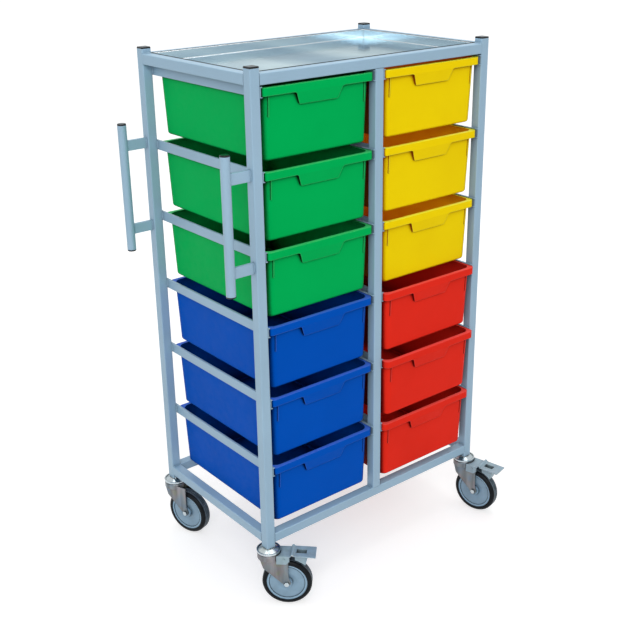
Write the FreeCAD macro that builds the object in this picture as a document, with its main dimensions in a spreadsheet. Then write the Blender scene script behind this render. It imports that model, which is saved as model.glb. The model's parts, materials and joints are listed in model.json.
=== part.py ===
import FreeCAD, Part
import math
import os

import Sketcher

# Driving dimensions in millimetres; the swivel values are degrees
SIZES = {
    # Storage trays
    "tray_width": 317,
    "tray_depth": 434,
    "tray_height": 160,
    "tray_wall": 2.2,
    "tray_floor": 2.5,
    "tray_wall_run": 7,
    "tray_corner": 24,
    "tray_floor_round": 7,
    "tray_inner_round": 4.5,
    "rim_overhang": 8,
    "rim_side_overhang": 4,
    "rim_height": 18,
    "rim_wall": 2,
    "rim_corner": 14,
    "tab_top_width": 124,
    "tab_low_width": 108,
    "tab_drop": 28,
    "tab_setback": 5.6,
    "tab_flare": 7,
    "tab_flare_height": 8,
    "tab_round": 4,
    "rib_inset": 20,
    "rib_width": 3,
    "rib_length": 46,
    "rib_proud": 1.4,
    # Gaps round the trays
    "tray_side_gap": 1.5,
    "tray_back_gap": 3,
    "tray_floor_gap": 20,
    "tray_top_gap": 6.5,
    "tray_seat_gap": 0.3,
    "row_pitch": 181,
    # Trays that stand a little forward of the posts
    "right_4_pull": 12,
    "right_5_pull": 18,
    "right_6_pull": 10,
    # Square tube of the posts and rails
    "post_side": 25,
    "post_wall": 1.5,
    "post_corner": 2.5,
    "post_foot": 11,
    "post_head": 11,
    # Channel runners
    "runner_height": 23,
    "runner_flange": 5.5,
    "runner_wall": 1.5,
    # Sheet pan on top
    "pan_drop": 22,
    "pan_wall": 1.2,
    "pan_corner": 3,
    # Plastic end caps
    "cap_height": 4,
    "cap_chamfer": 1.2,
    "plug_length": 12,
    "plug_gap": 0.2,
    # Push handles
    "handle_diameter": 22,
    "handle_wall": 1.5,
    "handle_length": 311,
    "handle_offset": 75,
    "handle_rise": 668,
    "stub_height": 25,
    "stub_thickness": 8,
    "stub_spacing": 209,
    # Caster heads
    "caster_trail": 45,
    "wheel_gap": 5.7,
    "stem_length": 40,
    "collar_radius": 15,
    "collar_height": 2.5,
    "head_radius": 30,
    "head_lip": 3,
    "head_lip_rise": 1.5,
    "head_drop": 6,
    "head_rim": 3,
    "race_radius": 22,
    "race_rise": 1.5,
    "swivel_gap": 0.3,
    "pin_radius": 6,
    "pin_nut_radius": 10,
    "pin_nut_height": 6,
    "running_gap": 0.05,
    # Caster forks
    "crown_radius": 29,
    "crown_height": 16,
    "crown_plate": 4,
    "crown_round": 4,
    "fork_sheet": 3,
    "fork_inside": 34,
    "leg_front_inset": 9,
    "leg_knee_inset": 16,
    "leg_knee_drop": 23.7,
    "leg_back_reach": 4.5,
    "leg_back_rise": 19.5,
    "leg_top_drop": 2.2,
    "leg_eye": 10,
    "swivel_front_left": -43,
    "swivel_front_right": -76.5,
    "swivel_back_left": -71,
    "swivel_back_right": -60,
    # Wheels
    "wheel_radius": 62.5,
    "tyre_depth": 11.5,
    "tyre_width": 30,
    "tyre_round": 8,
    "hub_width": 26,
    "hub_ring": 5,
    "hub_groove": 2.5,
    "hub_groove_depth": 3,
    "hub_recess": 1.5,
    "hub_dish_radius": 26,
    "hub_dish_depth": 4,
    "hub_boss_radius": 13,
    "hub_side_gap": 0.5,
    "axle_radius": 4,
    "axle_head_radius": 6.5,
    "axle_head_height": 4,
    # Brake pedals
    "pedal_drop": 1.7,
    "pedal_sheet": 2.5,
    "pedal_side_gap": 0.5,
    "pedal_crown_gap": 2,
    "pedal_flange": 23,
    "pedal_flange_slope": 8,
    "pedal_flange_reach": 8,
    "pivot_lead": 5,
    "pivot_drop": 8.5,
    "pivot_pin_radius": 2.5,
    "pivot_pin_proud": 1.5,
    "ridge_inset": 2,
    "ridge_slope": 3,
    "ridge_length": 4,
    "ridge_rise": 6,
    "tread_rise": 2,
    "tread_length": 53,
    "slot_inset": 4,
    "slot_length": 26,
    "slot_width": 16,
    "slot_depth": 8,
    "shoe_inset": 1,
    "shoe_top_length": 32,
    "shoe_low_length": 24,
    "shoe_width": 24,
    "shoe_side": 7,
    "shoe_reach": 36,
    "shoe_gap": 6,
    # How near an edge has to be to count as at a height or radius
    "pick_tolerance": 0.01,
}

# Rows are counted from the top, and each column is named by its side
ROWS = 6
COLUMN_SIDES = {"left": -1, "right": 1}
CORNER_SIDES = {
    "front_left": (-1, -1),
    "front_right": (1, -1),
    "back_left": (-1, 1),
    "back_right": (1, 1),
}
BRAKED_CORNERS = ("front_left", "front_right")
FULL_TURN = 360
HEXAGON = 6

# How far the tab's sides flare out, and how far down, as shares of the flare's width and height
FLARE_SHARES = ((1, 0), (0.3, 0.3), (0, 1))

# Places and sizes worked out from the driving dimensions
HALF_POST = "(size.post_side / 2)"
BAY_WIDTH = "(size.tray_width + 2 * size.tray_side_gap + 2 * size.runner_wall)"
POST_X = f"({BAY_WIDTH} + size.post_side)"
TRAY_X = f"({POST_X} / 2)"
FRAME_DEPTH = "(size.tray_depth + size.tray_back_gap + size.post_side)"
FRONT_Y = f"(-{FRAME_DEPTH} / 2)"
POST_Y = f"({FRAME_DEPTH} / 2 - {HALF_POST})"
CROWN_LOW_Z = "(2 * size.wheel_radius + size.wheel_gap)"
CROWN_Z = f"({CROWN_LOW_Z} + size.crown_height)"
CROWN_UNDER_Z = f"({CROWN_Z} - size.crown_plate)"
NUT_Z = f"({CROWN_UNDER_Z} - size.swivel_gap)"
RACE_Z = f"({CROWN_Z} + size.swivel_gap)"
HEAD_LOW_Z = f"({RACE_Z} + size.race_rise)"
DISH_Z = f"({HEAD_LOW_Z} + size.head_rim)"
COLLAR_Z = f"({DISH_Z} + size.head_drop)"
CASTER_TOP_Z = f"({COLLAR_Z} + size.collar_height)"
LOW_RAIL_Z = f"({CASTER_TOP_Z} + size.post_foot)"
LOWEST_TRAY_Z = f"({LOW_RAIL_Z} + size.post_side + size.tray_floor_gap)"
TOP_TRAY_Z = f"({LOWEST_TRAY_Z} + {ROWS - 1} * size.row_pitch)"
TOP_RAIL_Z = f"({TOP_TRAY_Z} + size.tray_height + size.tray_top_gap)"
FRAME_TOP_Z = f"({TOP_RAIL_Z} + size.post_side)"
CORNER_POST_LENGTH = f"({FRAME_TOP_Z} + size.post_head - {CASTER_TOP_Z})"
RIM_LOW = "(size.tray_height - size.rim_height)"
BODY_WIDTH = "(size.tray_width - 2 * size.rim_side_overhang)"
BODY_DEPTH = "(size.tray_depth - 2 * size.rim_overhang)"
TAB_TOP_HALF = "size.tab_top_width / 2"
TAB_LINE = [
    (f"({TAB_TOP_HALF} + {out} * size.tab_flare)", f"({down} * size.tab_flare_height)")
    for out, down in FLARE_SHARES
]
TAB_LINE.append(("(size.tab_low_width / 2)", "size.tab_drop"))
RUNNER_Z = f"({LOWEST_TRAY_Z} + {RIM_LOW} - size.tray_seat_gap - size.runner_wall)"
POST_BORE = "(size.post_side - 2 * size.post_wall)"
PLUG_SIDE = f"({POST_BORE} - 2 * size.plug_gap)"
INNER_CORNER = "max(size.post_corner - size.post_wall; size.plug_gap)"
HANDLE_RADIUS = "(size.handle_diameter / 2)"
HANDLE_BORE = f"({HANDLE_RADIUS} - size.handle_wall)"
HANDLE_X = f"(-{POST_X} - size.handle_offset)"
HANDLE_Z = f"({LOW_RAIL_Z} + size.handle_rise)"
STUB_Z = f"({HANDLE_Z} + (size.handle_length - size.stub_spacing - size.stub_height) / 2)"
STUB_LENGTH = f"(size.handle_offset - {HALF_POST})"
LEG_INSIDE = "(size.fork_inside / 2)"
LEG_OUTSIDE = f"({LEG_INSIDE} + size.fork_sheet)"
FLANGE_INSIDE = f"({LEG_OUTSIDE} + size.pedal_side_gap)"
PEDAL_WIDTH = f"(2 * {FLANGE_INSIDE} + 2 * size.pedal_sheet)"
PEDAL_TOP_Z = f"({CROWN_Z} - size.pedal_drop)"
PIVOT_X = "(size.caster_trail - size.pivot_lead)"
PIVOT_Z = f"({PEDAL_TOP_Z} - size.pivot_drop)"
FLANGE_END_X = "(size.caster_trail + size.pedal_flange_reach)"
RIDGE_X = f"({FLANGE_END_X} + size.ridge_inset)"
TREAD_X = f"({RIDGE_X} + 2 * size.ridge_slope + size.ridge_length)"
HUB_RADIUS = "(size.wheel_radius - size.tyre_depth)"

doc = FreeCAD.newDocument("tray_cart")
sheet = doc.addObject("Spreadsheet::Sheet", "size")
for line, (alias, number) in enumerate(SIZES.items(), start=1):
    sheet.set(f"A{line}", alias)
    sheet.set(f"B{line}", str(number))
    sheet.setAlias(f"B{line}", alias)
doc.recompute()


def value(expression):
    """The number that an expression of sheet values gives."""
    return float(sheet.evalExpression(expression))


def new_body(label):
    body = doc.addObject("PartDesign::Body", label)
    body.Label = label
    return body


def origin_item(body, role):
    return next(item for item in body.Origin.OriginFeatures if item.Role == role)


def new_sketch(body, name, role, offset=None):
    """A sketch on one of the body's origin planes, moved along the plane's normal by offset."""
    sketch = body.newObject("Sketcher::SketchObject", f"{body.Name}_{name}")
    sketch.AttachmentSupport = (origin_item(body, role), [""])
    sketch.MapMode = "FlatFace"
    if offset:
        sketch.setExpression("AttachmentOffset.Base.z", offset)
    return sketch


def hold(sketch, constraint, expression):
    """Adds a dimension to a sketch and binds it to an expression."""
    index = sketch.addConstraint(constraint)
    sketch.setExpression(f"Constraints[{index}]", expression)


def hold_point(sketch, edge, end, x, y):
    hold(sketch, Sketcher.Constraint("DistanceX", -1, 1, edge, end, value(x)), x)
    hold(sketch, Sketcher.Constraint("DistanceY", -1, 1, edge, end, value(y)), y)


def outline(sketch, corners):
    """A closed outline of straight lines through corners, each a pair of expressions."""
    points = [FreeCAD.Vector(value(x), value(y), 0) for x, y in corners]
    first = sketch.GeometryCount
    for start, end in zip(points, points[1:] + points[:1]):
        sketch.addGeometry(Part.LineSegment(start, end), False)
    for step, (x, y) in enumerate(corners):
        before = first + (step - 1) % len(corners)
        sketch.addConstraint(Sketcher.Constraint("Coincident", before, 2, first + step, 1))
        hold_point(sketch, first + step, 1, x, y)


def rounded_rectangle(sketch, width, depth, radius):
    """A rectangle with round corners, centred on the sketch's origin."""
    x = f"(({width}) / 2)"
    y = f"(({depth}) / 2)"
    near_x = f"({x} - ({radius}))"
    near_y = f"({y} - ({radius}))"
    runs = [
        ((f"-{near_x}", f"-{y}"), (near_x, f"-{y}")),
        ((x, f"-{near_y}"), (x, near_y)),
        ((near_x, y), (f"-{near_x}", y)),
        ((f"-{x}", near_y), (f"-{x}", f"-{near_y}")),
    ]
    first = sketch.GeometryCount
    for start, end in runs:
        ends = [FreeCAD.Vector(value(px), value(py), 0) for px, py in (start, end)]
        sketch.addGeometry(Part.LineSegment(*ends), False)
    quarter = math.pi / 2
    for turn, (side_x, side_y) in enumerate(((1, -1), (1, 1), (-1, 1), (-1, -1))):
        centre = FreeCAD.Vector(side_x * value(near_x), side_y * value(near_y), 0)
        circle = Part.Circle(centre, FreeCAD.Vector(0, 0, 1), value(radius))
        start_angle = (turn - 1) * quarter
        sketch.addGeometry(Part.ArcOfCircle(circle, start_angle, start_angle + quarter), False)
    for step, (start, end) in enumerate(runs):
        line = first + step
        arc = first + len(runs) + step
        next_line = first + (step + 1) % len(runs)
        hold_point(sketch, line, 1, *start)
        hold_point(sketch, line, 2, *end)
        sketch.addConstraint(Sketcher.Constraint("Coincident", line, 2, arc, 1))
        sketch.addConstraint(Sketcher.Constraint("Coincident", arc, 2, next_line, 1))
        hold(sketch, Sketcher.Constraint("Radius", arc, value(radius)), radius)


def circle(sketch, radius, x="0", y="0"):
    centre = FreeCAD.Vector(value(x), value(y), 0)
    edge = sketch.addGeometry(Part.Circle(centre, FreeCAD.Vector(0, 0, 1), value(radius)), False)
    hold_point(sketch, edge, 3, x, y)
    hold(sketch, Sketcher.Constraint("Radius", edge, value(radius)), radius)


def add_feature(body, kind, sketch, length=None, reverse=False, symmetric=False):
    """A feature made from a sketch, with a length where it has one."""
    feature = body.newObject(f"PartDesign::{kind}", f"{sketch.Name}_{kind.lower()}")
    feature.Profile = sketch
    if length:
        feature.setExpression("Length", length)
    if symmetric:
        feature.SideType = "Symmetric"
    feature.Reversed = reverse
    return feature


def pad(body, sketch, length, **options):
    return add_feature(body, "Pad", sketch, length, **options)


def pocket(body, sketch, length, **options):
    doc.recompute()
    before = body.Shape.Volume
    feature = add_feature(body, "Pocket", sketch, length, **options)
    doc.recompute()
    if not body.Shape.Volume < before:
        raise RuntimeError(f"{feature.Name} cuts nothing")
    return feature


def revolve(body, sketch):
    """A full turn of a sketch about its own vertical axis."""
    feature = body.newObject("PartDesign::Revolution", f"{sketch.Name}_revolution")
    feature.Profile = sketch
    feature.ReferenceAxis = (sketch, ["V_Axis"])
    feature.Angle = FULL_TURN
    return feature


def loft(body, kind, first, *others):
    """Straight-sided skin from section to section, added to the body or taken away from it."""
    feature = body.newObject(f"PartDesign::{kind}Loft", f"{first.Name}_loft")
    feature.Profile = first
    feature.Sections = list(others)
    feature.Ruled = True
    return feature


def mirror(body, feature, role):
    """Repeats a feature on the other side of one of the body's origin planes."""
    copy = body.newObject("PartDesign::Mirrored", f"{feature.Name}_mirrored")
    copy.Originals = [feature]
    copy.MirrorPlane = (origin_item(body, role), [""])
    body.Tip = copy
    return copy


def repeat(body, features, runs):
    """Repeats features along one or two axes; each run has an axis, a length and a count."""
    pattern = body.newObject("PartDesign::LinearPattern", f"{body.Name}_pattern")
    pattern.Originals = features
    for suffix, (role, length, count) in zip(("", "2"), runs):
        setattr(pattern, f"Direction{suffix}", (origin_item(body, role), [""]))
        pattern.setExpression(f"Length{suffix}", length)
        setattr(pattern, f"Occurrences{suffix}", count)
    body.Tip = pattern
    return pattern


def dress_edges(body, kind, length_name, length, picked):
    """Dresses the edges of the body's last feature that picked chooses."""
    doc.recompute()
    base = body.Tip
    names = [f"Edge{i}" for i, edge in enumerate(base.Shape.Edges, start=1) if picked(edge)]
    feature = body.newObject(f"PartDesign::{kind}", f"{base.Name}_{kind.lower()}")
    feature.Base = (base, names)
    feature.setExpression(length_name, length)
    return feature


def round_edges(body, radius, picked):
    return dress_edges(body, "Fillet", "Radius", radius, picked)


def chamfer_edges(body, width, picked):
    return dress_edges(body, "Chamfer", "Size", width, picked)


def lies_at(edge, height):
    """Whether an edge lies wholly at one height."""
    heights = [corner.Z for corner in edge.Vertexes] + [edge.CenterOfMass.z]
    return all(abs(level - height) < value("size.pick_tolerance") for level in heights)


def stands_at(edge, distance):
    """Whether an edge lies wholly at one distance from the middle, on either side."""
    places = [corner.X for corner in edge.Vertexes] + [edge.CenterOfMass.x]
    return all(abs(abs(x) - distance) < value("size.pick_tolerance") for x in places)


def is_ring(edge, radius):
    """Whether an edge is a circle of one radius."""
    if not isinstance(edge.Curve, Part.Circle):
        return False
    return abs(edge.Curve.Radius - radius) < value("size.pick_tolerance")


def place(body, x, y, z, turn=None):
    """Puts a body at a point, turned about the vertical by an angle in degrees."""
    body.setExpression("Placement.Base.x", x)
    body.setExpression("Placement.Base.y", y)
    body.setExpression("Placement.Base.z", z)
    if turn:
        body.Placement.Rotation = FreeCAD.Rotation(FreeCAD.Vector(0, 0, 1), value(turn))
        body.setExpression("Placement.Rotation.Angle", f"{turn} * 1 deg")


def make_tube(label, role, length):
    """A length of square tube along the normal of an origin plane, starting at that plane."""
    body = new_body(label)
    sketch = new_sketch(body, "section", role)
    rounded_rectangle(sketch, "size.post_side", "size.post_side", "size.post_corner")
    rounded_rectangle(sketch, POST_BORE, POST_BORE, INNER_CORNER)
    pad(body, sketch, length, reverse=role == "XZ_Plane")
    return body


def make_posts():
    """Four corner posts on the casters, and a centre post between the rails at the front and the back."""
    for corner, (side_x, side_y) in CORNER_SIDES.items():
        body = make_tube(f"post_{corner}", "XY_Plane", CORNER_POST_LENGTH)
        place(body, f"{side_x} * {POST_X}", f"{side_y} * {POST_Y}", CASTER_TOP_Z)
    for name, side_y in (("front", -1), ("back", 1)):
        body = make_tube(f"post_{name}_centre", "XY_Plane", f"{TOP_RAIL_Z} - {LOW_RAIL_Z} - size.post_side")
        place(body, "0", f"{side_y} * {POST_Y}", f"{LOW_RAIL_Z} + size.post_side")


def make_rails():
    """Square rails that run between the corner posts, one ring at the top and one at the bottom."""
    long_run = f"2 * {POST_X} - size.post_side"
    short_run = f"2 * {POST_Y} - size.post_side"
    for level, low in (("top", TOP_RAIL_Z), ("bottom", LOW_RAIL_Z)):
        middle = f"{low} + {HALF_POST}"
        for name, side in (("front", -1), ("back", 1)):
            body = make_tube(f"{level}_rail_{name}", "YZ_Plane", long_run)
            place(body, f"{HALF_POST} - {POST_X}", f"{side} * {POST_Y}", middle)
        for name, side in COLUMN_SIDES.items():
            body = make_tube(f"{level}_rail_{name}", "XZ_Plane", short_run)
            place(body, f"{side} * {POST_X}", f"{HALF_POST} - {POST_Y}", middle)


def make_runners(label, face_x, side):
    """Channel runners for one side of a column, with their flanges toward side."""
    body = new_body(label)
    sketch = new_sketch(body, "channel", "XZ_Plane")
    tip = f"{side} * size.runner_flange"
    web = f"{side} * size.runner_wall"
    inner_top = "size.runner_height - size.runner_wall"
    outline(sketch, [
        ("0", "0"),
        (tip, "0"),
        (tip, "size.runner_wall"),
        (web, "size.runner_wall"),
        (web, inner_top),
        (tip, inner_top),
        (tip, "size.runner_height"),
        ("0", "size.runner_height"),
    ])
    channel = pad(body, sketch, FRAME_DEPTH, reverse=True)
    repeat(body, [channel], [("Z_Axis", f"{ROWS - 1} * size.row_pitch", ROWS)])
    place(body, face_x, FRONT_Y, RUNNER_Z)


def make_pan():
    """A shallow sheet pan that fills the ring of top rails."""
    body = new_body("top_pan")
    long_run = f"2 * {POST_X} - size.post_side"
    short_run = f"2 * {POST_Y} - size.post_side"
    block = new_sketch(body, "block", "XY_Plane")
    rounded_rectangle(block, long_run, short_run, "size.pan_corner")
    pad(body, block, "size.pan_drop + size.pan_wall")
    inside = new_sketch(body, "inside", "XY_Plane", "size.pan_wall")
    inner_corner = "size.pan_corner - size.pan_wall"
    two_walls = "2 * size.pan_wall"
    rounded_rectangle(inside, f"{long_run} - {two_walls}", f"{short_run} - {two_walls}", inner_corner)
    pocket(body, inside, "size.pan_drop", reverse=True)
    place(body, "0", "0", f"{FRAME_TOP_Z} - size.pan_drop - size.pan_wall")


def make_post_caps():
    """Caps on the four corner posts, each with a plug inside the tube."""
    body = new_body("post_caps")
    cover = new_sketch(body, "cover", "XY_Plane")
    rounded_rectangle(cover, "size.post_side", "size.post_side", "size.post_corner")
    plug = new_sketch(body, "plug", "XY_Plane")
    rounded_rectangle(plug, PLUG_SIDE, PLUG_SIDE, INNER_CORNER)
    shapes = [pad(body, cover, "size.cap_height"), pad(body, plug, "size.plug_length", reverse=True)]
    repeat(body, shapes, [("X_Axis", f"2 * {POST_X}", 2), ("Y_Axis", f"2 * {POST_Y}", 2)])
    top = value("size.cap_height")
    chamfer_edges(body, "size.cap_chamfer", lambda edge: lies_at(edge, top))
    place(body, f"-{POST_X}", f"-{POST_Y}", f"{FRAME_TOP_Z} + size.post_head")


def make_handles():
    """Two upright push handles on flat stubs at the left end, with a cap in each tube end."""
    for name, side_y in (("front", -1), ("back", 1)):
        body = new_body(f"handle_{name}")
        sketch = new_sketch(body, "section", "XY_Plane")
        circle(sketch, HANDLE_RADIUS)
        circle(sketch, HANDLE_BORE)
        pad(body, sketch, "size.handle_length")
        place(body, HANDLE_X, f"{side_y} * {POST_Y}", HANDLE_Z)

    stubs = new_body("handle_stubs")
    bar = new_sketch(stubs, "bar", "XY_Plane")
    half = "size.stub_thickness / 2"
    outline(bar, [("0", f"-{half}"), (STUB_LENGTH, f"-{half}"), (STUB_LENGTH, half), ("0", half)])
    cope = new_sketch(stubs, "cope", "XY_Plane")
    circle(cope, HANDLE_RADIUS)
    shapes = [
        pad(stubs, bar, "size.stub_height"),
        pocket(stubs, cope, "size.stub_height", reverse=True),
    ]
    repeat(stubs, shapes, [("Y_Axis", f"2 * {POST_Y}", 2), ("Z_Axis", "size.stub_spacing", 2)])
    place(stubs, HANDLE_X, f"-{POST_Y}", STUB_Z)

    caps = new_body("handle_caps")
    shapes = []
    for name, level, upward in (("low", "0", False), ("high", "size.handle_length", True)):
        cover = new_sketch(caps, f"{name}_cover", "XY_Plane", level)
        circle(cover, HANDLE_RADIUS)
        plug = new_sketch(caps, f"{name}_plug", "XY_Plane", level)
        circle(plug, f"{HANDLE_BORE} - size.plug_gap")
        shapes.append(pad(caps, cover, "size.cap_height", reverse=not upward))
        shapes.append(pad(caps, plug, "size.plug_length", reverse=upward))
    repeat(caps, shapes, [("Y_Axis", f"2 * {POST_Y}", 2)])
    ends = [-value("size.cap_height"), value("size.handle_length + size.cap_height")]
    chamfer_edges(caps, "size.cap_chamfer", lambda edge: any(lies_at(edge, end) for end in ends))
    place(caps, HANDLE_X, f"-{POST_Y}", HANDLE_Z)


def make_tray(label, x, y, z):
    """A moulded tray: a skirted rim, drafted walls, and a sloping finger tab under each end of the rim."""
    body = new_body(label)
    rim = new_sketch(body, "rim", "XY_Plane", RIM_LOW)
    rounded_rectangle(rim, "size.tray_width", "size.tray_depth", "size.rim_corner")
    pad(body, rim, "size.rim_height")
    under = new_sketch(body, "under_rim", "XY_Plane", RIM_LOW)
    skirt_width = "size.tray_width - 2 * size.rim_wall"
    skirt_depth = "size.tray_depth - 2 * size.rim_wall"
    rounded_rectangle(under, skirt_width, skirt_depth, "size.rim_corner - size.rim_wall")
    pocket(body, under, "size.rim_height - size.rim_wall", reverse=True)

    floor = new_sketch(body, "floor", "XY_Plane")
    floor_width = f"{BODY_WIDTH} - 2 * size.tray_wall_run"
    floor_depth = f"{BODY_DEPTH} - 2 * size.tray_wall_run"
    floor_corner = "size.tray_corner - size.tray_wall_run"
    rounded_rectangle(floor, floor_width, floor_depth, floor_corner)
    mouth = new_sketch(body, "mouth", "XY_Plane", "size.tray_height")
    rounded_rectangle(mouth, BODY_WIDTH, BODY_DEPTH, "size.tray_corner")
    loft(body, "Additive", floor, mouth)
    low = new_sketch(body, "inner_floor", "XY_Plane", "size.tray_floor")
    two_walls = "2 * size.tray_wall"
    inner_corner = f"{floor_corner} - size.tray_wall"
    rounded_rectangle(low, f"{floor_width} - {two_walls}", f"{floor_depth} - {two_walls}", inner_corner)
    high = new_sketch(body, "inner_mouth", "XY_Plane", "size.tray_height")
    inner_corner = "size.tray_corner - size.tray_wall"
    rounded_rectangle(high, f"{BODY_WIDTH} - {two_walls}", f"{BODY_DEPTH} - {two_walls}", inner_corner)
    loft(body, "Subtractive", low, high)
    inside = value("size.tray_floor")
    round_edges(body, "size.tray_inner_round", lambda edge: lies_at(edge, inside))
    round_edges(body, "size.tray_floor_round", lambda edge: lies_at(edge, 0))

    tab = loft(body, "Additive", *[
        tab_section(body, step, half_width, drop) for step, (half_width, drop) in enumerate(TAB_LINE)
    ])
    mirror(body, tab, "XZ_Plane")
    tab_low = value(f"{RIM_LOW} - size.tab_drop")
    tab_side = value("size.tab_low_width / 2")
    round_edges(body, "size.tab_round", lambda edge: lies_at(edge, tab_low) and stands_at(edge, tab_side))

    rib_x = f"{BODY_WIDTH} / 2 - size.rib_inset"
    rib = new_sketch(body, "rib", "YZ_Plane", rib_x)
    high_y = wall_y("size.rim_height")
    low_y = wall_y("(size.rim_height + size.rib_length)")
    low_z = f"{RIM_LOW} - size.rib_length"
    outline(rib, [
        (f"{high_y} - size.rib_proud", RIM_LOW),
        (f"{low_y} - size.rib_proud", low_z),
        (f"{low_y} + size.tray_wall / 2", low_z),
        (f"{high_y} + size.tray_wall / 2", RIM_LOW),
    ])
    mirror(body, pad(body, rib, "size.rib_width", symmetric=True), "YZ_Plane")
    place(body, x, y, z)


def tab_section(body, step, half_width, drop):
    """A level cut through the finger tab, at a drop below the rim's lower edge."""
    sketch = new_sketch(body, f"tab_{step}", "XY_Plane", f"{RIM_LOW} - {drop}")
    front_y = f"size.tab_setback * {drop} / size.tab_drop - size.tray_depth / 2"
    back_y = f"{front_y} + size.rim_wall"
    outline(sketch, [
        (f"-{half_width}", front_y),
        (half_width, front_y),
        (half_width, back_y),
        (f"-{half_width}", back_y),
    ])
    return sketch


def wall_y(depth):
    """Where the front wall's outer face stands at a depth below the rim's top."""
    return f"(size.tray_wall_run * {depth} / size.tray_height - {BODY_DEPTH} / 2)"


def make_trays():
    """Two columns of six trays, numbered down from the top."""
    for column, side in COLUMN_SIDES.items():
        for row in range(1, ROWS + 1):
            alias = f"{column}_{row}_pull"
            pull = f"size.{alias}" if alias in SIZES else "0"
            y = f"{FRONT_Y} + size.tray_depth / 2 - {pull}"
            z = f"{LOWEST_TRAY_Z} + {ROWS - row} * size.row_pitch"
            make_tray(f"tray_{column}_{row}", f"{side} * {TRAY_X}", y, z)


def make_stem(corner, x, y):
    """A plug in the post, a dished head under it, and a king pin with its nut."""
    body = new_body(f"caster_stem_{corner}")
    sketch = new_sketch(body, "head", "XZ_Plane")
    lip_inside = "size.head_radius - size.head_lip"
    lip_top = f"{DISH_Z} + size.head_lip_rise"
    nut_low = f"{NUT_Z} - size.pin_nut_height"
    outline(sketch, [
        ("0", CASTER_TOP_Z),
        ("size.collar_radius", CASTER_TOP_Z),
        ("size.collar_radius", COLLAR_Z),
        (lip_inside, DISH_Z),
        (lip_inside, lip_top),
        ("size.head_radius", lip_top),
        ("size.head_radius", HEAD_LOW_Z),
        ("size.race_radius", HEAD_LOW_Z),
        ("size.race_radius", RACE_Z),
        ("size.pin_radius", RACE_Z),
        ("size.pin_radius", NUT_Z),
        ("size.pin_nut_radius", NUT_Z),
        ("size.pin_nut_radius", nut_low),
        ("0", nut_low),
    ])
    revolve(body, sketch)
    plug = new_sketch(body, "plug", "XY_Plane", CASTER_TOP_Z)
    rounded_rectangle(plug, PLUG_SIDE, PLUG_SIDE, INNER_CORNER)
    pad(body, plug, "size.stem_length")
    place(body, x, y, "0")


def make_fork(corner, x, y, turn):
    """A round crown on the king pin with two trailing legs; a braked fork has holes for the pedal's pin."""
    body = new_body(f"caster_fork_{corner}")
    crown = new_sketch(body, "crown", "XY_Plane", CROWN_Z)
    circle(crown, "size.crown_radius")
    pad(body, crown, "size.crown_height", reverse=True)
    top = value(CROWN_Z)
    round_edges(body, "size.crown_round", lambda edge: lies_at(edge, top))
    hollow = new_sketch(body, "hollow", "XY_Plane", CROWN_LOW_Z)
    circle(hollow, "size.crown_radius - size.fork_sheet")
    pocket(body, hollow, "size.crown_height - size.crown_plate", reverse=True)
    leg = new_sketch(body, "leg", "XZ_Plane", LEG_INSIDE)
    front = "(size.crown_radius - size.leg_front_inset)"
    in_crown = f"{CROWN_UNDER_Z} + size.crown_plate / 2"
    back = "size.caster_trail + size.leg_back_reach"
    leg_top = f"{CROWN_UNDER_Z} - size.leg_top_drop"
    outline(leg, [
        (f"-{front}", in_crown),
        (f"-{front}", CROWN_LOW_Z),
        ("size.leg_knee_inset - size.crown_radius", f"{CROWN_LOW_Z} - size.leg_knee_drop"),
        ("size.caster_trail - size.leg_eye", "size.wheel_radius"),
        ("size.caster_trail", "size.wheel_radius - size.leg_eye"),
        ("size.caster_trail + size.leg_eye", "size.wheel_radius"),
        (back, "size.wheel_radius + size.leg_back_rise"),
        (back, leg_top),
        (front, leg_top),
        (front, in_crown),
    ])
    mirror(body, pad(body, leg, "size.fork_sheet"), "XZ_Plane")
    bore = new_sketch(body, "king_bore", "XY_Plane", CROWN_Z)
    circle(bore, "size.pin_radius + size.running_gap")
    pocket(body, bore, "size.crown_plate")
    across = f"2 * {LEG_OUTSIDE}"
    axle = new_sketch(body, "axle_bore", "XZ_Plane")
    circle(axle, "size.axle_radius + size.running_gap", "size.caster_trail", "size.wheel_radius")
    pocket(body, axle, across, symmetric=True)
    if corner in BRAKED_CORNERS:
        pivot = new_sketch(body, "pivot_bore", "XZ_Plane")
        circle(pivot, "size.pivot_pin_radius + size.running_gap", PIVOT_X, PIVOT_Z)
        pocket(body, pivot, across, symmetric=True)
    place(body, x, y, "0", turn)


def make_axle(corner, x, y, turn):
    """A bolt across the fork with a hexagon outside each leg."""
    body = new_body(f"caster_axle_{corner}")
    shank = new_sketch(body, "shank", "XZ_Plane")
    circle(shank, "size.axle_radius")
    pad(body, shank, f"2 * {LEG_OUTSIDE}", symmetric=True)
    for name, offset in (("head", LEG_OUTSIDE), ("nut", f"-{LEG_OUTSIDE} - size.axle_head_height")):
        hexagon = body.newObject("PartDesign::AdditivePrism", f"{body.Name}_{name}")
        hexagon.AttachmentSupport = (origin_item(body, "XZ_Plane"), [""])
        hexagon.MapMode = "FlatFace"
        hexagon.setExpression("AttachmentOffset.Base.z", offset)
        hexagon.Polygon = HEXAGON
        hexagon.setExpression("Circumradius", "size.axle_head_radius")
        hexagon.setExpression("Height", "size.axle_head_height")
    place(body, x, y, "size.wheel_radius", turn)


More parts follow.
